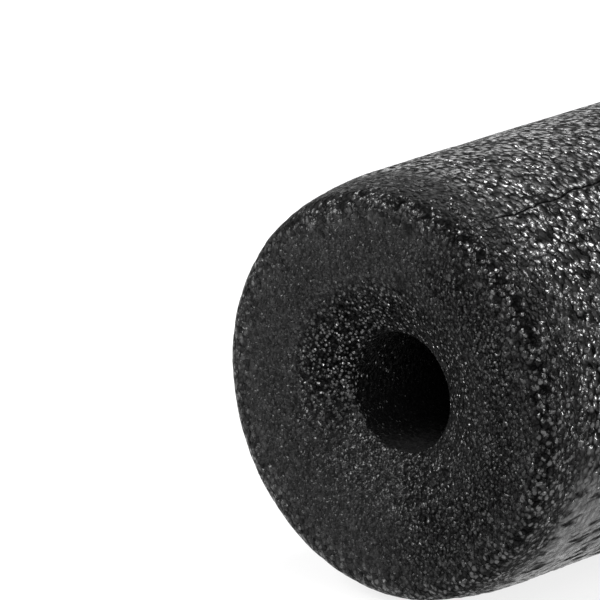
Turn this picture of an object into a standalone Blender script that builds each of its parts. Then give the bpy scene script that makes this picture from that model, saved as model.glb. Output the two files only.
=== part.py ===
"""A straight length of thick-walled foam tube, slit along one side so that it can be opened.

Metres, +Z up. The tube lies along X on the plane z = 0, with the middle of its length at x = 0.
"""

import math

import bmesh
import bpy
from mathutils import Matrix

# The tube's section and length
BORE_DIAMETER = 0.0186
WALL = 0.0237
LENGTH = 0.9144

# Both ends are cut square. Each face turns over a rounded rim, past which the skin is drawn in
# a little over the last stretch of the length
RIM_ROUND = 0.0030
SKIN_DRAW_IN = 0.0013
SKIN_DRAW_LENGTH = 0.0120

# Inside a ring of this radius, the face dips towards the bore
MOUTH_DIP = 0.0040
MOUTH_DIP_RADIUS = 0.0230
MOUTH_DIP_POWER = 2

# The slit runs the whole length, through the wall, and leans from the top towards -Y
SLIT_WIDTH = 0.0003
SLIT_LEAN = math.radians(26)

# Facets around the tube and along its curved edges
FACETS_AROUND = 48
FACETS_ALONG_ROUND = 5
FACETS_ALONG_DRAW_IN = 4
FACETS_ALONG_MOUTH = 5
SHARP_ANGLE = math.radians(35)

BORE_RADIUS = BORE_DIAMETER / 2
OUTER_RADIUS = BORE_RADIUS + WALL
FACET_ANGLE = 2 * math.pi / FACETS_AROUND
# A facet lies flat on z = 0, so the axis is one facet's inner radius above it
AXIS_HEIGHT = OUTER_RADIUS * math.cos(FACET_ANGLE / 2)

# The rim's round turns from the face until it meets the drawn-in skin without a corner
RIM_TURN = math.atan2(SKIN_DRAW_LENGTH, 2 * SKIN_DRAW_IN)
RIM_DEPTH = RIM_ROUND * (1 - math.cos(RIM_TURN))
FACE_RADIUS = OUTER_RADIUS - SKIN_DRAW_IN - RIM_ROUND * math.sin(RIM_TURN)

FOAM_COLOUR = (0.018, 0.018, 0.019, 1.0)
FOAM_ROUGHNESS = 0.7


def clear_scene():
    """Remove everything that the open file's scene holds."""
    for scene_object in list(bpy.context.scene.objects):
        bpy.data.objects.remove(scene_object, do_unlink=True)


def new_collection(name):
    """Make a collection in the scene."""
    collection = bpy.data.collections.new(name)
    bpy.context.scene.collection.children.link(collection)
    return collection


def foam_material():
    """Black closed-cell foam: dark, not metallic, and fairly dull."""
    material = bpy.data.materials.new("black_foam")
    material.use_nodes = True
    shader = material.node_tree.nodes["Principled BSDF"]
    shader.inputs["Base Color"].default_value = FOAM_COLOUR
    shader.inputs["Roughness"].default_value = FOAM_ROUGHNESS
    shader.inputs["Metallic"].default_value = 0.0
    return material


def mouth_point(share):
    """The face's dip, as (depth behind the face, radius): share 0 at the bore, 1 where it ends."""
    depth = MOUTH_DIP * (1 - share) ** MOUTH_DIP_POWER
    return (depth, BORE_RADIUS + share * (MOUTH_DIP_RADIUS - BORE_RADIUS))


def round_point(share):
    """The rim's round, as (depth, radius): share 0 at the face, 1 at the drawn-in skin."""
    turn = RIM_TURN * share
    return (RIM_ROUND * (1 - math.cos(turn)), FACE_RADIUS + RIM_ROUND * math.sin(turn))


def draw_in_point(share):
    """The drawn-in skin, as (depth, radius): share 0 at the rim's round, 1 at the full skin."""
    drawn_in = SKIN_DRAW_IN * (1 - share) ** 2
    return (RIM_DEPTH + SKIN_DRAW_LENGTH * share, OUTER_RADIUS - drawn_in)


def shares(count):
    """Numbers from 0 to 1 in so many equal steps."""
    return [step / count for step in range(count + 1)]


def end_profile():
    """One end from the bore, over the flat ring of the face, to the full skin."""
    mouth = [mouth_point(share) for share in shares(FACETS_ALONG_MOUTH)]
    rim = [round_point(share) for share in shares(FACETS_ALONG_ROUND)]
    skin = [draw_in_point(share) for share in shares(FACETS_ALONG_DRAW_IN)[1:]]
    return mouth + rim + skin


def tube_profile():
    """The closed outline of the wall as (x, radius): the +X end, then the same at the -X end."""
    far_end = [(LENGTH / 2 - depth, radius) for depth, radius in end_profile()]
    near_end = [(-along, radius) for along, radius in reversed(far_end)]
    return far_end + near_end


def turned_mesh(name, profile):
    """Turn a closed profile about X and return the solid's mesh, smooth along its rounds."""
    outline = bpy.data.meshes.new(name + "_profile")
    points = [(along, radius, 0.0) for along, radius in profile]
    edges = [(index, (index + 1) % len(points)) for index in range(len(points))]
    outline.from_pydata(points, edges, [])
    turner = bpy.data.objects.new(name + "_profile", outline)
    bpy.context.scene.collection.objects.link(turner)

    screw = turner.modifiers.new("Turn", "SCREW")
    screw.axis = "X"
    screw.angle = 2 * math.pi
    screw.steps = FACETS_AROUND
    screw.render_steps = FACETS_AROUND
    screw.merge_threshold = 0.00001

    depsgraph = bpy.context.evaluated_depsgraph_get()
    mesh = bpy.data.meshes.new_from_object(turner.evaluated_get(depsgraph))
    mesh.name = name
    bpy.data.objects.remove(turner, do_unlink=True)
    bpy.data.meshes.remove(outline)
    mesh.shade_smooth()
    mesh.set_sharp_from_angle(angle=SHARP_ANGLE)
    return mesh


def make_slit_cutter(collection):
    """A thin blade from the tube's axis out past its skin, and past both of its ends."""
    past_skin = 0.005
    past_ends = 0.010
    reach = OUTER_RADIUS + past_skin
    size = (LENGTH + 2 * past_ends, SLIT_WIDTH, reach)
    blade = bmesh.new()
    bmesh.ops.create_cube(
        blade,
        size=1.0,
        matrix=Matrix.Translation((0, 0, reach / 2)) @ Matrix.Diagonal((*size, 1.0)),
    )
    mesh = bpy.data.meshes.new("slit_cutter")
    blade.to_mesh(mesh)
    blade.free()

    cutter = bpy.data.objects.new("slit_cutter", mesh)
    cutter.location = (0, 0, AXIS_HEIGHT)
    cutter.rotation_euler = (SLIT_LEAN, 0, 0)
    cutter.hide_render = True
    cutter.display_type = "WIRE"
    collection.objects.link(cutter)
    return cutter


def make_foam_tube(collection, slit_cutter):
    """The tube itself: a thick turned wall with the slit cut through it."""
    tube = bpy.data.objects.new("foam_tube", turned_mesh("foam_tube", tube_profile()))
    tube.location = (0, 0, AXIS_HEIGHT)
    tube.rotation_euler = (FACET_ANGLE / 2, 0, 0)
    tube.data.materials.append(foam_material())
    collection.objects.link(tube)

    slit = tube.modifiers.new("Slit", "BOOLEAN")
    slit.operation = "DIFFERENCE"
    slit.object = slit_cutter
    return tube


def main():
    clear_scene()
    parts = new_collection("Foam tube")
    cutters = new_collection("Cutters")
    make_foam_tube(parts, make_slit_cutter(cutters))


main()
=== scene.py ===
"""The looks of a black foam tube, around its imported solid.

The tube is one closed mesh: its skin, its cut ends, its bore and the two walls of its slit. Near the end
that the camera sees, the mesh has the foam's pebbles. Its finer cells are bump everywhere.
"""

import math
from typing import NamedTuple

import bmesh
import bpy
import numpy as np
from mathutils import Matrix, Vector, noise


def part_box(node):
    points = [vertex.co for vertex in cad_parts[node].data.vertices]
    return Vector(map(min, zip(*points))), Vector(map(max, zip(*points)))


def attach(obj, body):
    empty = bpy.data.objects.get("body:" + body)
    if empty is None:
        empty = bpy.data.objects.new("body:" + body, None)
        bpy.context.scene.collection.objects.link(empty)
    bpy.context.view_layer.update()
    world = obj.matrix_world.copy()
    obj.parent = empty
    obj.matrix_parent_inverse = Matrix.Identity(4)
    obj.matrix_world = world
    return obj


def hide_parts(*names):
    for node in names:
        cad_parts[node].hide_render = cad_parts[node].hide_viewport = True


MM = 0.001

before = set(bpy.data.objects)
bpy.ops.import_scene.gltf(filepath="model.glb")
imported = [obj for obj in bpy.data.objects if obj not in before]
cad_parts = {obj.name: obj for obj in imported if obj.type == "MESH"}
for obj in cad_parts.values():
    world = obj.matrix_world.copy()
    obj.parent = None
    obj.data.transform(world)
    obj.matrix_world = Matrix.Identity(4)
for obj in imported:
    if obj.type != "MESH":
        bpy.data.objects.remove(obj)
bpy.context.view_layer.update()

# The tube's place
TUBE_LOW, TUBE_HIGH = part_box("foam_tube")
NEAR_X = TUBE_LOW.x
FAR_X = TUBE_HIGH.x
AXIS_Z = (TUBE_LOW.z + TUBE_HIGH.z) / 2
HALF_LENGTH = (FAR_X - NEAR_X) / 2

# Its section and its ends, as its solid has them
OUTER_RADIUS = 33.0 * MM
BORE_RADIUS = 9.3 * MM
RIM_ROUND = 3.0 * MM
SKIN_DRAW_IN = 1.3 * MM
SKIN_DRAW_LENGTH = 12.0 * MM
MOUTH_DIP = 4.0 * MM
MOUTH_DIP_RADIUS = 23.0 * MM
MOUTH_DIP_POWER = 2
RIM_TURN = math.atan2(SKIN_DRAW_LENGTH, 2 * SKIN_DRAW_IN)
RIM_DEPTH = RIM_ROUND * (1 - math.cos(RIM_TURN))
FACE_RADIUS = OUTER_RADIUS - SKIN_DRAW_IN - RIM_ROUND * math.sin(RIM_TURN)

# The slit lies this far around the tube from +Y, which is past the top
SLIT_ANGLE = math.radians(90 + 26.6)

# It wanders in three waves, each a share of the wander, a start and a length, both in millimetres
SLIT_WANDER = 0.45 * MM
SLIT_WAVES = ((1.0, 4.0, 38.0), (0.45, 9.7, 9.3), (0.8, -20.0, 171.0))

# It has jags, of a size in millimetres, which are taken from this line through a noise
SLIT_JAG = 0.22 * MM
SLIT_JAG_SIZE = 1.7
SLIT_JAG_LINE = (0.0, 7.0)

# It is pressed shut at both end faces and opens behind them, between two rounded lips
SLIT_GAP = 0.30 * MM
SLIT_GAP_AT_FACE = 0.02 * MM
SLIT_CLOSED_TO = 5.0 * MM
SLIT_OPEN_FROM = 10.0 * MM
LIP_DROP = 0.12 * MM
LIP_WIDTH = 0.28 * MM

# The foam's relief that is in the mesh. A pebble is shorter along the tube than around it
PEBBLE_SIZE = 1.4 * MM
PEBBLE_HEIGHT = 0.18 * MM
PEBBLE_SOFTNESS = 7.0
PEBBLE_REACH = 0.85
PEBBLE_SQUEEZE = 1.2
LUMP_SIZE = 9.0 * MM
LUMP_HEIGHT = 0.06 * MM
KNOB_SIZE = 3.2 * MM
KNOB_HEIGHT = 0.065 * MM

# The share of the pebbles' height on the cut face, and the share that the seam takes off it
PEBBLES_ON_CUT = 0.25
SEAM_SMOOTHING = 0.6

# How each kind of surface comes in. A pair of numbers is where it starts and where it is in full. Here
# both are metres along the outline, from the edge of the flat face over the rim to the skin
SKIN_STARTS = 7.1 * MM
SKIN_LATER_ON_TOP = 1.5 * MM
SKIN_BLEND = 3.7 * MM
PEBBLES_COME_IN = (-5.0 * MM, 1.5 * MM)
PEBBLES_RISE = (-3.0 * MM, 9.0 * MM)
# The top of the rim is dulled as painted shade from here
RIM_PAINTED_SHADE_COMES_IN = (0.3 * MM, 3.3 * MM)

# Here they are the sine of the angle around the tube: -1 at the bottom and 1 at the top
# The rim's painted shade is strongest on top
RIM_PAINTED_SHADE_BY_HEIGHT = (-0.1, 0.6)
# The specks by the bore are fewer low down, as painted shade
BORE_SPECKS_PAINTED_SHADE_BY_HEIGHT = (-0.75, 0.2)
PRESSED_BY_HEIGHT = (-0.05, -0.48)

# The specks around the bore fade between two radii, and this share of them is left at the bottom,
# where they are thinned out as painted shade
BORE_SPECKS_FADE = (14.0 * MM, 21.0 * MM)
BORE_SPECKS_IN_PAINTED_SHADE = 0.3

# The side of the face that the knife has smeared, which is also painted lighter: its middle, as an
# angle from +Y, and where it starts and is in full, as the cosine of the angle from there
SMEAR_PAINTED_LIGHTER_ANGLE = math.radians(5)
SMEAR_PAINTED_LIGHTER_BY_COSINE = (-0.5, 0.05)

# The melted band fades above and below the slit between two distances, and starts behind the face
MELTED_FADE_ABOVE = (1.0 * MM, 2.4 * MM)
MELTED_FADE_BELOW = (0.2 * MM, 0.8 * MM)
MELTED_BEHIND_FACE = (3.0 * MM, 6.0 * MM)

# The shader's masks: the skin, the rim with its larger cells, the specks around the bore, fewer low down
# as painted shade, the painted shade on the top of the rim, the smeared side of the face, which is also
# painted lighter, the pressed underside, and the melted band
MASK_NAMES = ("skin", "pebbled", "near_bore", "rim_painted_shade", "smeared_painted_lighter", "pressed", "seam")

# How far apart the mesh's points are: along the outline, and around it. They are closest at the near
# end, and wider apart on the side that the camera doesn't see
FINE_STEP = 0.36 * MM
FINE_DEPTH = 30.0 * MM
BORE_STEP = 0.6 * MM
BORE_FINE_DEPTH = 24.0 * MM
FAR_STEP = 1.3 * MM
FAR_FINE_DEPTH = 17.0 * MM
BODY_STEP = 9.0 * MM
STEP_GROWTH = 0.10
SKIN_TURN_STEP = math.radians(4.5)
BORE_TURN_STEP = math.radians(7.5)
BACK_COARSENESS = 2.2
BACK_BEGINS = (math.radians(85), math.radians(115))
LIP_STEP = 0.14 * MM
LIP_STEP_GROWTH = 0.35
# The number of steps around is a multiple of this, so that most rows match the next one
STEPS_IN_BUNDLE = 16
# The pebbles are in the mesh where its step is below the first of these, and in full below the second
PEBBLES_LAST_STEP = 0.9 * MM
PEBBLES_FULL_STEP = 0.6 * PEBBLES_LAST_STEP

# How many samples the outline has on each straight, curve and draw-in, and a turn around the tube
STRAIGHT_SAMPLES = 900
CURVE_SAMPLES = 60
DRAW_IN_SAMPLES = 90
TURN_SAMPLES = 721
# A length that is too small to matter
TINY = 1e-9

# The camera looks at the -X end from in front of it and above
VIEW_AZIMUTH = math.radians(40.57)
VIEW_ELEVATION = math.radians(15.92)
VIEW_DISTANCE = 1.1204
FACE_RIGHT_OF_CENTRE = 12.61 * MM
FACE_BELOW_CENTRE = 14.67 * MM
LENS_MM = 450.0
SENSOR_MM = 36.0

# The lights: each one's place from the floor under the near end, its size, and its power in watts
LIGHTS = {
    "key_behind": ((1.1, 0.0, 1.10), 0.62, 29.0),
    "overhead": ((-0.1, -0.8, 1.5), 1.2, 12.0),
    "right_side": ((1.08, -1.02, 0.26), 0.35, 21.0),
    "front": ((-0.9, 0.8, 0.87), 0.9, 26.0),
    "camera_side": ((-0.86, -1.02, 0.63), 0.8, 8.5),
    "far_side": ((1.3, 1.15, 0.55), 1.0, 6.4),
}
SKY_STRENGTH = 0.30
FLOOR_SIZE = 60.0


class CellKind(NamedTuple):
    """One kind of foam cell that is bump: its size in metres, its height in millimetres, its slope.

    At the distance pit from its middle it is in full painted shade, and at no_pit out of it, both in
    cell sizes.
    """

    size: float
    height: float
    tilt: float
    pit: float
    no_pit: float


# The cells of the skin, of the rim, of the cut face, and of the cut around the bore. Each drops by its
# height at the reach, in cell sizes, from its middle
SKIN_BEAD = CellKind(size=1.08 * MM, height=0.23, tilt=0.36, pit=0.68, no_pit=0.22)
RIM_CELL = CellKind(size=0.76 * MM, height=0.20, tilt=0.36, pit=0.68, no_pit=0.22)
CUT_CELL = CellKind(size=0.46 * MM, height=0.12, tilt=0.35, pit=0.75, no_pit=0.25)
BORE_CELL = CellKind(size=0.45 * MM, height=0.10, tilt=0.8, pit=0.68, no_pit=0.26)
CELL_REACH = 0.8

# The noises that sway the cells' outlines, and that give the foam its grain, patches and wrinkles
NOISE_MIDDLE = (0.5, 0.5, 0.5)
SWAY_SIZE = 1.1 * MM
SWAY_REACH = (0.9 * MM, 0.9 * MM, 0.9 * MM)
GRAIN_SIZE = 1.6 * MM
PATCH_SIZE = 7.0 * MM
WRINKLE_SIZE = (6.5 * MM, 1.6 * MM, 1.6 * MM)
# How far the wrinkles turn from the tube's length
WRINKLE_TWIST = math.radians(14)

# The bump's heights in millimetres, and the shares of it that the pressed skin and the seam keep
GRAIN_ON_CUT = 0.16
GRAIN_ON_SKIN = 0.05
WRINKLE_HEIGHT = 0.8
PRESSED_BUMP = 0.45
SEAM_BUMP = 0.45

# How the smear, which also paints its side lighter, and the pressing change the cells' tones and the
# painted shade of their pits, as ramps: from and to, and what comes out at the two, which is 0 and 1
# where a ramp doesn't say
SMEARED_PAINTED_LIGHTER_TONE = (0.0, 1.0, 0.40, 0.66)
SMEARED_PAINTED_LIGHTER_TOP = (0.0, 1.0, 0.6, 1.0)
SMEARED_PAINTED_LIGHTER_RIM_TONE = (0.0, 1.0, 0.25, 0.75)
PRESSED_TOP = (0.0, 1.0, 0.75, 1.0)
# The underside's wrinkle creases are painted shade between these two
PRESSED_CREASE_PAINTED_SHADE = (0.36, 0.50)
RIM_PIT = 0.10
SMEARED_PAINTED_LIGHTER_RIM_PIT = 0.30

# The gloss and the coat that a cell has by its tone, as such ramps
CUT_GLOSS = (0.0, 0.7, 0.0, 0.78)
BORE_GLOSS = (0.4, 0.95, 0.0, 1.0)
RIM_GLOSS = (0.05, 0.8, 0.15, 1.0)
# On the top of the rim, gloss and coat are cut down as painted shade
RIM_GLOSS_IN_PAINTED_SHADE = (0.4, 1.0, 0.10, 0.55)
SKIN_GLOSS = (0.0, 0.55, 0.2, 1.0)
PRESSED_GLOSS = 1.0
CUT_COAT = (0.4, 1.0, 0.0, 0.48)
BORE_COAT = (0.4, 0.85, 0.0, 1.0)
RIM_COAT = (0.2, 1.0, 0.0, 0.9)
RIM_COAT_IN_PAINTED_SHADE = (0.6, 0.85, 0.0, 1.0)
SKIN_COAT = (0.2, 1.0, 0.1, 0.64)
PRESSED_COAT = 0.6
# What the gloss adds to the coat on the cut and on the skin, and the share of the coat at the seam
GLOSS_IN_COAT_ON_CUT = 0.14
GLOSS_IN_COAT_ON_SKIN = 0.28
SEAM_COAT = 0.25

CUT_ROUGHNESS = 0.5
SKIN_ROUGHNESS = (0.0, 1.0, 0.25, 0.45)
PIT_ROUGHNESS = 0.8
TINT_RANGE = (0.75, 1.25)
DARKER_FOAM = (0.002, 0.002, 0.0021, 1)
LIGHTER_FOAM = (0.005, 0.005, 0.0052, 1)
# Painted shade in the cells' pits: a near-black colour. The dull shine serves both dull cells and the
# pits' painted shade
PAINTED_PIT_SHADE = (0.0004, 0.0004, 0.0004, 1)
DULL_AND_PAINTED_SHADE_SHINE = (0.02, 0.02, 0.02, 1)
FULL_SHINE = (1, 1, 1, 1)
FOAM_CONSTANTS = {
    "Coat Roughness": 0.20,
    "Coat IOR": 1.9,
    "Specular IOR Level": 0.08,
    "Sheen Weight": 0.02,
    "Sheen Roughness": 0.45,
}


def smooth_step(low, high, value):
    """0 below low, 1 above high, and a smooth rise between them."""
    share = np.clip((value - low) / (high - low), 0.0, 1.0)
    return share * share * (3 - 2 * share)


def blend(first, second, share):
    """first where share is 0, second where it is 1."""
    return first + (second - first) * share


def graded(along, step, bundle=1):
    """Places along a line, as far apart as step says. The number of gaps is a multiple of bundle."""
    middle_step = (step[1:] + step[:-1]) / 2
    steps_so_far = np.concatenate([[0.0], np.cumsum(np.diff(along) / middle_step)])
    count = bundle * math.ceil(steps_so_far[-1] / bundle)
    return np.interp(np.linspace(0, steps_so_far[-1], count + 1), steps_so_far, along)


def end_outline():
    """One end's outline, as depth behind the face and radius: mid bore, mouth, face, rim, mid skin."""
    bore_depth = np.linspace(HALF_LENGTH, MOUTH_DIP, STRAIGHT_SAMPLES)
    dip_share = np.linspace(0, 1, CURVE_SAMPLES)[1:]
    flat_radius = np.linspace(MOUTH_DIP_RADIUS, FACE_RADIUS, CURVE_SAMPLES)[1:]
    rim_turn = np.linspace(0, RIM_TURN, CURVE_SAMPLES)[1:]
    draw_share = np.linspace(0, 1, DRAW_IN_SAMPLES)[1:]
    skin_depth = np.linspace(RIM_DEPTH + SKIN_DRAW_LENGTH, HALF_LENGTH, STRAIGHT_SAMPLES)[1:]
    depth = [
        bore_depth,
        MOUTH_DIP * (1 - dip_share) ** MOUTH_DIP_POWER,
        np.zeros_like(flat_radius),
        RIM_ROUND * (1 - np.cos(rim_turn)),
        RIM_DEPTH + SKIN_DRAW_LENGTH * draw_share,
        skin_depth,
    ]
    radius = [
        np.full_like(bore_depth, BORE_RADIUS),
        BORE_RADIUS + dip_share * (MOUTH_DIP_RADIUS - BORE_RADIUS),
        flat_radius,
        FACE_RADIUS + RIM_ROUND * np.sin(rim_turn),
        OUTER_RADIUS - SKIN_DRAW_IN * (1 - draw_share) ** 2,
        np.full_like(skin_depth, OUTER_RADIUS),
    ]
    return np.concatenate(depth), np.concatenate(radius)


def end_rows(fine_step, fine_depth, bore_step, bore_fine_depth):
    """The rows of mesh points of one end, each with its place, its normal and its step."""
    depth, radius = end_outline()
    path = np.concatenate([[0.0], np.cumsum(np.hypot(np.diff(depth), np.diff(radius)))])
    bore_path = HALF_LENGTH - MOUTH_DIP
    edge_path = path[np.searchsorted(radius, FACE_RADIUS - TINY)]
    in_bore = path < bore_path
    finest = np.where(in_bore, bore_step, fine_step)
    past_fine = depth - np.where(in_bore, bore_fine_depth, fine_depth)
    step = np.minimum(finest + STEP_GROWTH * np.maximum(past_fine, 0.0), BODY_STEP)
    places = graded(path, step)
    along_path = {
        "depth": depth,
        "radius": radius,
        "normal_depth": -np.gradient(radius, path),
        "normal_radius": np.gradient(depth, path),
        "step": step,
    }
    rows = {name: np.interp(places, path, values) for name, values in along_path.items()}
    rows["past_edge"] = places - edge_path
    rows["in_bore"] = places < bore_path - fine_step / 2
    return rows


def all_rows():
    """The rows of the whole loop: mid bore, near end, mid skin, far end, and back along the bore."""
    near = end_rows(FINE_STEP, FINE_DEPTH, BORE_STEP, BORE_FINE_DEPTH)
    far = end_rows(FAR_STEP, FAR_FINE_DEPTH, FAR_STEP, FAR_FINE_DEPTH)
    near["x"] = NEAR_X + near["depth"]
    far["x"] = FAR_X - far["depth"]
    near["normal_x"] = near["normal_depth"]
    far["normal_x"] = -far["normal_depth"]
    # The far end runs the other way, and the two ends share their first and last rows
    return {name: np.concatenate([near[name], far[name][::-1][1:-1]]) for name in near}


def slit_wander(x):
    """How far the slit strays around the skin from its straight line, at x."""
    depth = (x - NEAR_X) / MM
    waves = sum(
        share * np.sin(2 * math.pi * (depth - start) / length)
        for share, start, length in SLIT_WAVES
    )
    places = (depth / SLIT_JAG_SIZE).tolist()
    jags = np.array([noise.noise((place, *SLIT_JAG_LINE)) for place in places])
    return SLIT_WANDER * waves + SLIT_JAG * jags


def slit_openness(x):
    """0 at both end faces, where the slit is pressed shut, and 1 further in."""
    depth = np.minimum(x - NEAR_X, FAR_X - x)
    return smooth_step(SLIT_CLOSED_TO, SLIT_OPEN_FROM, depth)


def row_turns(radius, step, in_bore, camera_turn):
    """The turns from one lip of the slit to the other at which a row has its points."""
    turn = np.linspace(0, 2 * math.pi, TURN_SAMPLES)
    from_camera = np.abs((turn - camera_turn + math.pi) % (2 * math.pi) - math.pi)
    behind = smooth_step(*BACK_BEGINS, from_camera)
    widest = BORE_TURN_STEP if in_bore else SKIN_TURN_STEP
    turn_step = np.minimum(step / radius * (1 + (BACK_COARSENESS - 1) * behind), widest)
    if not in_bore:
        from_slit = np.minimum(turn, 2 * math.pi - turn)
        turn_step = np.minimum(turn_step, LIP_STEP / radius + LIP_STEP_GROWTH * from_slit)
    return graded(turn, turn_step, STEPS_IN_BUNDLE)


def turns_of_rows(rows):
    """Each row's turns, closer together on the side that the camera sees."""
    camera_side = math.atan2(-math.tan(VIEW_ELEVATION), math.sin(VIEW_AZIMUTH)) + math.pi
    camera_turn = camera_side - SLIT_ANGLE
    return [
        row_turns(radius, step, in_bore, camera_turn)
        for radius, step, in_bore in zip(rows["radius"], rows["step"], rows["in_bore"])
    ]


def angles_around(at, turn):
    """Each point's angle from +Y, by its turn from one lip of the slit to the other."""
    gap = blend(SLIT_GAP_AT_FACE, SLIT_GAP, slit_openness(at["x"]))
    gap_turn = gap / at["radius"]
    first_lip = SLIT_ANGLE + slit_wander(at["x"]) / OUTER_RADIUS + gap_turn / 2
    return first_lip + turn * (1 - gap_turn / (2 * math.pi))


def surface_masks(at, angle, turn):
    """How much of each kind of surface, and of painted light and shade, there is at each point, from 0
    to 1, for the shader.
    """
    up = np.sin(angle)
    skin_starts = SKIN_STARTS + SKIN_LATER_ON_TOP * up
    # The top of the rim is dulled as painted shade
    rim_shade_by_height = smooth_step(*RIM_PAINTED_SHADE_BY_HEIGHT, up)
    # The specks by the bore thin out low down as painted shade
    specks_out_of_painted_shade = smooth_step(*BORE_SPECKS_PAINTED_SHADE_BY_HEIGHT, up)
    near_bore = 1 - smooth_step(*BORE_SPECKS_FADE, at["radius"])
    above_slit = (2 * math.pi - turn) * at["radius"]
    below_slit = turn * at["radius"]
    melted_above = 1 - smooth_step(*MELTED_FADE_ABOVE, above_slit)
    melted_below = 1 - smooth_step(*MELTED_FADE_BELOW, below_slit)
    behind_face = smooth_step(*MELTED_BEHIND_FACE, at["depth"])
    return {
        "skin": smooth_step(0.0, SKIN_BLEND, at["past_edge"] - skin_starts),
        "pebbled": smooth_step(*PEBBLES_COME_IN, at["past_edge"]),
        "near_bore": near_bore * blend(BORE_SPECKS_IN_PAINTED_SHADE, 1.0, specks_out_of_painted_shade),
        # The top of the rim, dulled as painted shade
        "rim_painted_shade": smooth_step(*RIM_PAINTED_SHADE_COMES_IN, at["past_edge"]) * rim_shade_by_height,
        # The smeared side of the face, also painted lighter
        "smeared_painted_lighter": smooth_step(*SMEAR_PAINTED_LIGHTER_BY_COSINE, np.cos(angle - SMEAR_PAINTED_LIGHTER_ANGLE)),
        "pressed": smooth_step(*PRESSED_BY_HEIGHT, up),
        "seam": np.maximum(melted_above, melted_below) * behind_face,
    }


def pebble_relief(points, size):
    """The height, about 0 to 1, of rounded foam cells of this size, with soft hollows between them."""
    stretch = np.array([PEBBLE_SQUEEZE, 1.0, 1.0]) / size
    nearest = np.array([noise.voronoi(point)[0][:2] for point in (points * stretch).tolist()])
    softened = -np.log(np.exp(-PEBBLE_SOFTNESS * nearest).mean(axis=1)) / PEBBLE_SOFTNESS
    return np.clip(1 - (softened / PEBBLE_REACH) ** 2, 0.0, 1.0)


def lump_relief(points, size):
    """Smooth lumps and hollows of this size, from -1 to 1."""
    return np.array([noise.noise(point) for point in (points / size).tolist()])


def relief_height(points, at, turn, masks):
    """How far each point stands out from the plain tube, by its lumps, its lip and its pebbles."""
    out_of_bore = np.where(at["in_bore"], 0.0, 1.0)
    height = out_of_bore * LUMP_HEIGHT * lump_relief(points, LUMP_SIZE)
    height += out_of_bore * KNOB_HEIGHT * lump_relief(points, KNOB_SIZE)

    from_slit = np.minimum(turn, 2 * math.pi - turn) * at["radius"]
    lip = 1 - smooth_step(0.0, LIP_WIDTH, from_slit)
    height -= LIP_DROP * lip * masks["skin"] * slit_openness(at["x"])

    in_mesh = 1 - smooth_step(PEBBLES_FULL_STEP, PEBBLES_LAST_STEP, at["step"])
    raised = blend(PEBBLES_ON_CUT, 1.0, smooth_step(*PEBBLES_RISE, at["past_edge"]))
    strength = in_mesh * raised * (1 - SEAM_SMOOTHING * masks["seam"]) * ~at["in_bore"]
    relief = np.ones(len(points))
    fine = in_mesh > 0
    relief[fine] = pebble_relief(points[fine], PEBBLE_SIZE)
    height -= PEBBLE_HEIGHT * strength * (1 - relief)
    return height


def join_rows(first, second, first_place, second_place):
    """Faces between two rows of points: quads where they match, and else triangles."""
    if len(first) == len(second) and len(first) > 2:
        return [
            (first[i], first[i + 1], second[i + 1], second[i])
            for i in range(len(first) - 1)
        ]
    faces = []
    i = j = 0
    while i < len(first) - 1 or j < len(second) - 1:
        step_first = j == len(second) - 1 or (
            i < len(first) - 1 and first_place[i + 1] <= second_place[j + 1]
        )
        if step_first:
            face = (first[i], first[i + 1], second[j])
            i += 1
        else:
            face = (first[i], second[j + 1], second[j])
            j += 1
        if len(set(face)) == 3:
            faces.append(face)
    return faces


def slit_wall(column, rows):
    """One wall of the slit: the column of row ends over the skin, joined to those along the bore."""
    count = len(rows["x"])
    outside = np.flatnonzero(~rows["in_bore"])
    over_skin = list(range(outside[0], outside[-1] + 1))
    along_bore = list(range(outside[0], -1, -1)) + list(range(count - 1, outside[-1] - 1, -1))
    return join_rows(
        [column[row] for row in over_skin],
        [column[row] for row in along_bore],
        rows["x"][over_skin],
        rows["x"][along_bore],
    )


def tube_faces(rows, turns):
    """The faces around the tube, which are smooth, and those of the slit's two walls, which aren't."""
    counts = [len(turn) for turn in turns]
    starts = np.concatenate([[0], np.cumsum(counts)])
    rows_of_points = [range(starts[i], starts[i + 1]) for i in range(len(counts))]
    around = []
    for row in range(len(counts)):
        after = (row + 1) % len(counts)
        around += join_rows(
            rows_of_points[row], rows_of_points[after], turns[row], turns[after]
        )
    walls = []
    for lip in (0, -1):
        walls += slit_wall([points_of_row[lip] for points_of_row in rows_of_points], rows)
    return around, walls


def foam_tube_mesh():
    """The whole tube as one closed mesh, with the shader's masks as attributes."""
    rows = all_rows()
    turns = turns_of_rows(rows)
    row_of = np.repeat(np.arange(len(turns)), [len(turn) for turn in turns])
    at = {name: values[row_of] for name, values in rows.items()}
    turn = np.concatenate(turns)
    angle = angles_around(at, turn)
    across, up = np.cos(angle), np.sin(angle)
    points = np.stack(
        [at["x"], at["radius"] * across, AXIS_Z + at["radius"] * up], axis=1
    )
    normals = np.stack(
        [at["normal_x"], at["normal_radius"] * across, at["normal_radius"] * up], axis=1
    )
    normals /= np.linalg.norm(normals, axis=1, keepdims=True)
    masks = surface_masks(at, angle, turn)
    points = points + normals * relief_height(points, at, turn, masks)[:, None]
    around, walls = tube_faces(rows, turns)
    faces = around + walls

    mesh = bpy.data.meshes.new("foam_tube_surface")
    mesh.from_pydata(points.tolist(), [], faces)
    smooth = np.arange(len(faces)) < len(around)
    mesh.polygons.foreach_set("use_smooth", smooth)
    for name in MASK_NAMES:
        attribute = mesh.attributes.new(name, "FLOAT", "POINT")
        attribute.data.foreach_set("value", masks[name].astype(np.float32))
    shape = bmesh.new()
    shape.from_mesh(mesh)
    bmesh.ops.recalc_face_normals(shape, faces=shape.faces)
    shape.to_mesh(mesh)
    shape.free()
    mesh.update()
    triangles = sum(len(face) - 2 for face in faces)
    print("foam tube:", len(points), "points,", triangles, "triangles")
    return mesh


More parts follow.
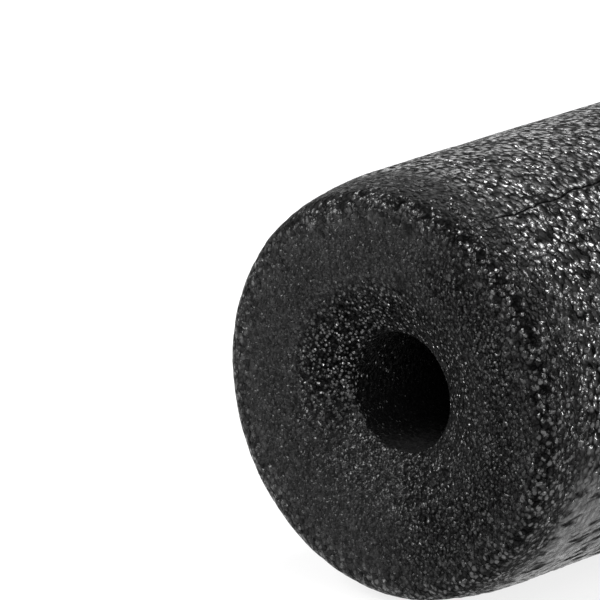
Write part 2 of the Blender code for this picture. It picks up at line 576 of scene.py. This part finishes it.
class Nodes:
    """Short ways to add and link nodes in one material's tree."""

    def __init__(self, name):
        self.material = bpy.data.materials.new(name)
        self.material.use_nodes = True
        self.tree = self.material.node_tree
        self.shader = self.tree.nodes["Principled BSDF"]

    def add(self, kind, inputs=(), **settings):
        """A node with its settings made and its inputs linked or set, by name or by number."""
        new = self.tree.nodes.new("ShaderNode" + kind)
        for name, value in settings.items():
            setattr(new, name, value)
        self.feed(new, dict(inputs))
        return new

    def feed(self, node, inputs):
        """Link or set a node's inputs, by name or by number."""
        for name, value in inputs.items():
            if isinstance(value, bpy.types.NodeSocket):
                self.tree.links.new(value, node.inputs[name])
            else:
                node.inputs[name].default_value = value

    def math(self, operation, first, second):
        """One sum with two numbers."""
        return self.add("Math", {0: first, 1: second}, operation=operation).outputs[0]

    def vector(self, operation, first, second, output="Vector"):
        """One sum with two vectors."""
        inputs = {0: first, 1: second}
        return self.add("VectorMath", inputs, operation=operation).outputs[output]

    def mix(self, share, first, second):
        """first where share is 0, second where it is 1."""
        inputs = {0: share, 2: first, 3: second}
        return self.add("Mix", inputs, data_type="FLOAT").outputs[0]

    def mix_colour(self, share, first, second):
        """The colour first where share is 0, and second where it is 1."""
        inputs = {0: share, 6: first, 7: second}
        return self.add("Mix", inputs, data_type="RGBA").outputs[2]

    def ramp(self, value, low, high, to_low=0.0, to_high=1.0):
        """to_low where the value is low or beyond, to_high where it is high, and smooth between."""
        inputs = {0: value, 1: low, 2: high, 3: to_low, 4: to_high}
        return self.add("MapRange", inputs, interpolation_type="SMOOTHSTEP").outputs[0]

    def noise(self, vector, size, detail):
        """A noise with lumps of this size, as its outputs."""
        inputs = {"Vector": vector, "Scale": 1 / size, "Detail": detail}
        return self.add("TexNoise", inputs).outputs

    def cells(self, vector, kind):
        """Domed cells that each lean their own way: height in millimetres, tone, and a share that is 0
        in the pits' painted shade.
        """
        cell = self.add("TexVoronoi", {"Vector": vector, "Scale": 1 / kind.size}).outputs
        share = self.math("DIVIDE", cell["Distance"], CELL_REACH)
        dome = self.math("MULTIPLY", self.math("MULTIPLY", share, share), -kind.height)
        offset = self.vector("SUBTRACT", vector, cell["Position"])
        lean = self.vector("SUBTRACT", cell["Color"], NOISE_MIDDLE)
        leaning = self.vector("DOT_PRODUCT", offset, lean, output="Value")
        relief = self.math("ADD", dome, self.math("MULTIPLY", leaning, 2 * kind.tilt / MM))
        tone = self.add("SeparateXYZ", {0: cell["Color"]}).outputs[0]
        # 0 in the pits between the cells, which are painted shade
        out_of_pit_shade = self.ramp(cell["Distance"], kind.pit, kind.no_pit)
        return relief, tone, out_of_pit_shade


def foam_material():
    """Black foam: glossy pebbles on the skin, and small dull cells with bright specks on the cut."""
    nodes = Nodes("black_foam")
    place = nodes.add("TexCoord").outputs["Object"]
    skin, pebbled, near_bore, rim_painted_shade, smeared_painted_lighter, pressed, seam = (
        nodes.add("Attribute", attribute_name=name).outputs["Fac"] for name in MASK_NAMES
    )

    def by_kind(on_cut, by_bore, on_rim, on_skin):
        """One value out of those for the cut, the cut by the bore, the rim and the skin."""
        on_face = nodes.mix(near_bore, on_cut, by_bore)
        on_edge = nodes.mix(pebbled, on_face, on_rim)
        return nodes.mix(skin, on_edge, on_skin)

    # Cells of uneven outline: the place is shifted a little by a noise before the cells are drawn
    sway = nodes.noise(place, SWAY_SIZE, 2.0)["Color"]
    sway = nodes.vector("MULTIPLY", nodes.vector("SUBTRACT", sway, NOISE_MIDDLE), SWAY_REACH)
    swayed = nodes.vector("ADD", place, sway)
    squeezed = nodes.add("Mapping", {"Vector": swayed, "Scale": (PEBBLE_SQUEEZE, 1, 1)}).outputs[0]
    skin_relief, skin_tone, skin_out_of_pit_shade = nodes.cells(squeezed, SKIN_BEAD)
    rim_relief, rim_tone, rim_out_of_pit_shade = nodes.cells(squeezed, RIM_CELL)
    cut_relief, cut_tone, cut_out_of_pit_shade = nodes.cells(swayed, CUT_CELL)
    bore_relief, bore_tone, bore_out_of_pit_shade = nodes.cells(place, BORE_CELL)
    grain = nodes.noise(place, GRAIN_SIZE, 3.0)[0]
    patch = nodes.noise(place, PATCH_SIZE, 2.0)[0]

    # Shallow wrinkles along the underside's skin, which the tube's own weight has pressed smooth
    underside = nodes.math("MULTIPLY", pressed, skin)
    along_wrinkles = nodes.add(
        "Mapping",
        {"Vector": place, "Rotation": (0, -WRINKLE_TWIST, 0), "Scale": WRINKLE_SIZE},
        vector_type="TEXTURE",
    ).outputs[0]
    wrinkle = nodes.noise(along_wrinkles, 1.0, 2.0)[0]

    # The bump, from the height in millimetres
    height = by_kind(cut_relief, bore_relief, rim_relief, skin_relief)
    height = nodes.math("MULTIPLY", height, nodes.mix(underside, 1.0, PRESSED_BUMP))
    grain_height = nodes.mix(skin, GRAIN_ON_CUT, GRAIN_ON_SKIN)
    height = nodes.math("ADD", height, nodes.math("MULTIPLY", grain, grain_height))
    wrinkle_height = nodes.math("MULTIPLY", underside, WRINKLE_HEIGHT)
    height = nodes.math("ADD", height, nodes.math("MULTIPLY", wrinkle, wrinkle_height))
    strength = nodes.mix(seam, 1.0, SEAM_BUMP)
    bump = nodes.add("Bump", {"Height": height, "Distance": MM, "Strength": strength}).outputs[0]

    # How the smear, which also paints its side lighter, and the pressing change the cells' tones, and
    # how dark the painted shade in their pits is
    cut_tone = nodes.mix(smeared_painted_lighter, cut_tone, nodes.ramp(cut_tone, *SMEARED_PAINTED_LIGHTER_TONE))
    cut_out_of_pit_shade = nodes.mix(smeared_painted_lighter, cut_out_of_pit_shade, nodes.ramp(cut_out_of_pit_shade, *SMEARED_PAINTED_LIGHTER_TOP))
    # The wrinkles' creases are painted shade, like the pits
    out_of_crease_shade = nodes.ramp(wrinkle, *PRESSED_CREASE_PAINTED_SHADE)
    pressed_out_of_pit_shade = nodes.math("MULTIPLY", out_of_crease_shade, nodes.ramp(skin_out_of_pit_shade, *PRESSED_TOP))
    skin_out_of_pit_shade = nodes.mix(pressed, skin_out_of_pit_shade, pressed_out_of_pit_shade)
    rim_tone = nodes.mix(smeared_painted_lighter, rim_tone, nodes.ramp(rim_tone, *SMEARED_PAINTED_LIGHTER_RIM_TONE))
    rim_pit = nodes.mix(smeared_painted_lighter, RIM_PIT, SMEARED_PAINTED_LIGHTER_RIM_PIT)
    rim_out_of_pit_shade = nodes.ramp(rim_out_of_pit_shade, 0.0, 1.0, rim_pit, 1.0)
    out_of_pit_shade = by_kind(cut_out_of_pit_shade, bore_out_of_pit_shade, rim_out_of_pit_shade, skin_out_of_pit_shade)

    # Each cell's tone sets how much light it gives back. Its pit, the top of the rim and the wrinkles'
    # creases are painted shade, with less gloss and coat
    gloss_and_painted_shade = by_kind(
        nodes.ramp(cut_tone, *CUT_GLOSS),
        nodes.ramp(bore_tone, *BORE_GLOSS),
        nodes.mix(rim_painted_shade, nodes.ramp(rim_tone, *RIM_GLOSS), nodes.ramp(rim_tone, *RIM_GLOSS_IN_PAINTED_SHADE)),
        nodes.mix(pressed, nodes.ramp(skin_tone, *SKIN_GLOSS), PRESSED_GLOSS),
    )
    gloss_and_painted_shade = nodes.math("MULTIPLY", gloss_and_painted_shade, out_of_pit_shade)
    coat = by_kind(
        nodes.ramp(cut_tone, *CUT_COAT),
        nodes.ramp(bore_tone, *BORE_COAT),
        nodes.mix(rim_painted_shade, nodes.ramp(rim_tone, *RIM_COAT), nodes.ramp(rim_tone, *RIM_COAT_IN_PAINTED_SHADE)),
        nodes.mix(pressed, nodes.ramp(skin_tone, *SKIN_COAT), PRESSED_COAT),
    )
    coat = nodes.math("MULTIPLY", coat, out_of_pit_shade)
    gloss_in_coat = nodes.mix(skin, GLOSS_IN_COAT_ON_CUT, GLOSS_IN_COAT_ON_SKIN)
    coat = nodes.math("ADD", coat, nodes.math("MULTIPLY", gloss_and_painted_shade, gloss_in_coat))
    coat = nodes.math("MULTIPLY", coat, nodes.mix(seam, 1.0, SEAM_COAT))
    roughness = nodes.mix(skin, CUT_ROUGHNESS, nodes.ramp(skin_tone, *SKIN_ROUGHNESS))
    tint = nodes.ramp(nodes.math("ADD", patch, grain), *TINT_RANGE)
    colour = nodes.mix_colour(tint, DARKER_FOAM, LIGHTER_FOAM)

    nodes.feed(nodes.shader, FOAM_CONSTANTS)
    nodes.feed(nodes.shader, {
        # The pits are painted shade: a near-black colour, a dull shine and no coat
        "Base Color": nodes.mix_colour(out_of_pit_shade, PAINTED_PIT_SHADE, colour),
        "Roughness": nodes.mix(out_of_pit_shade, PIT_ROUGHNESS, roughness),
        "Normal": bump,
        "Specular Tint": nodes.mix_colour(gloss_and_painted_shade, DULL_AND_PAINTED_SHADE_SHINE, FULL_SHINE),
        "Coat Normal": bump,
        "Coat Weight": coat,
    })
    return nodes.material


def make_foam_tube():
    """The visible tube, in place of its plain solid."""
    tube = bpy.data.objects.new("foam_tube_dressed", foam_tube_mesh())
    bpy.context.scene.collection.objects.link(tube)
    tube.data.materials.append(foam_material())
    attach(tube, "root")
    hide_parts("foam_tube")


def make_floor():
    """A wide floor that glows a little, so that it stays white as far as the camera sees."""
    bpy.ops.mesh.primitive_plane_add(size=FLOOR_SIZE)
    floor = bpy.context.object
    floor.name = "floor"
    nodes = Nodes("white_floor")
    nodes.feed(nodes.shader, {
        "Base Color": (0.2, 0.2, 0.2, 1.0),
        "Emission Color": (1.0, 1.0, 1.0, 1.0),
        "Emission Strength": 0.78,
        "Roughness": 0.9,
        "Specular IOR Level": 0.1,
    })
    floor.data.materials.append(nodes.material)


def make_world():
    """An even white sky all round."""
    world = bpy.data.worlds.new("studio")
    bpy.context.scene.world = world
    world.use_nodes = True
    background = world.node_tree.nodes["Background"]
    background.inputs["Color"].default_value = (1.0, 1.0, 1.0, 1.0)
    background.inputs["Strength"].default_value = SKY_STRENGTH


def make_light(name, place, aim, size, power):
    """A square soft light at a place, aimed at a point."""
    data = bpy.data.lights.new(name, "AREA")
    data.shape = "SQUARE"
    data.size = size
    data.energy = power
    light = bpy.data.objects.new(name, data)
    light.location = place
    light.rotation_euler = (Vector(aim) - Vector(place)).to_track_quat("-Z", "Y").to_euler()
    light.visible_camera = False
    bpy.context.scene.collection.objects.link(light)


def make_lights():
    """All the lights, aimed at the middle of the near end face."""
    near_face = (NEAR_X, 0.0, AXIS_Z)
    for name, ((along, across, up), size, power) in LIGHTS.items():
        make_light(name, (NEAR_X + along, across, up), near_face, size, power)


def make_camera():
    """The camera, by where the near end face lies in its picture."""
    forward = Vector((
        math.cos(VIEW_AZIMUTH) * math.cos(VIEW_ELEVATION),
        math.sin(VIEW_AZIMUTH) * math.cos(VIEW_ELEVATION),
        -math.sin(VIEW_ELEVATION),
    ))
    right = forward.cross(Vector((0, 0, 1))).normalized()
    up = right.cross(forward)
    face_centre = Vector((NEAR_X, 0.0, AXIS_Z))
    place = (
        face_centre
        - forward * VIEW_DISTANCE
        - right * FACE_RIGHT_OF_CENTRE
        + up * FACE_BELOW_CENTRE
    )
    turn = Matrix((right, up, -forward)).transposed()
    data = bpy.data.cameras.new("camera")
    data.lens = LENS_MM
    data.sensor_width = SENSOR_MM
    camera = bpy.data.objects.new("camera", data)
    camera.matrix_world = Matrix.Translation(place) @ turn.to_4x4()
    bpy.context.scene.collection.objects.link(camera)
    bpy.context.scene.camera = camera


make_foam_tube()
make_floor()
make_world()
make_lights()
make_camera()
bpy.context.scene.view_settings.view_transform = "Standard"
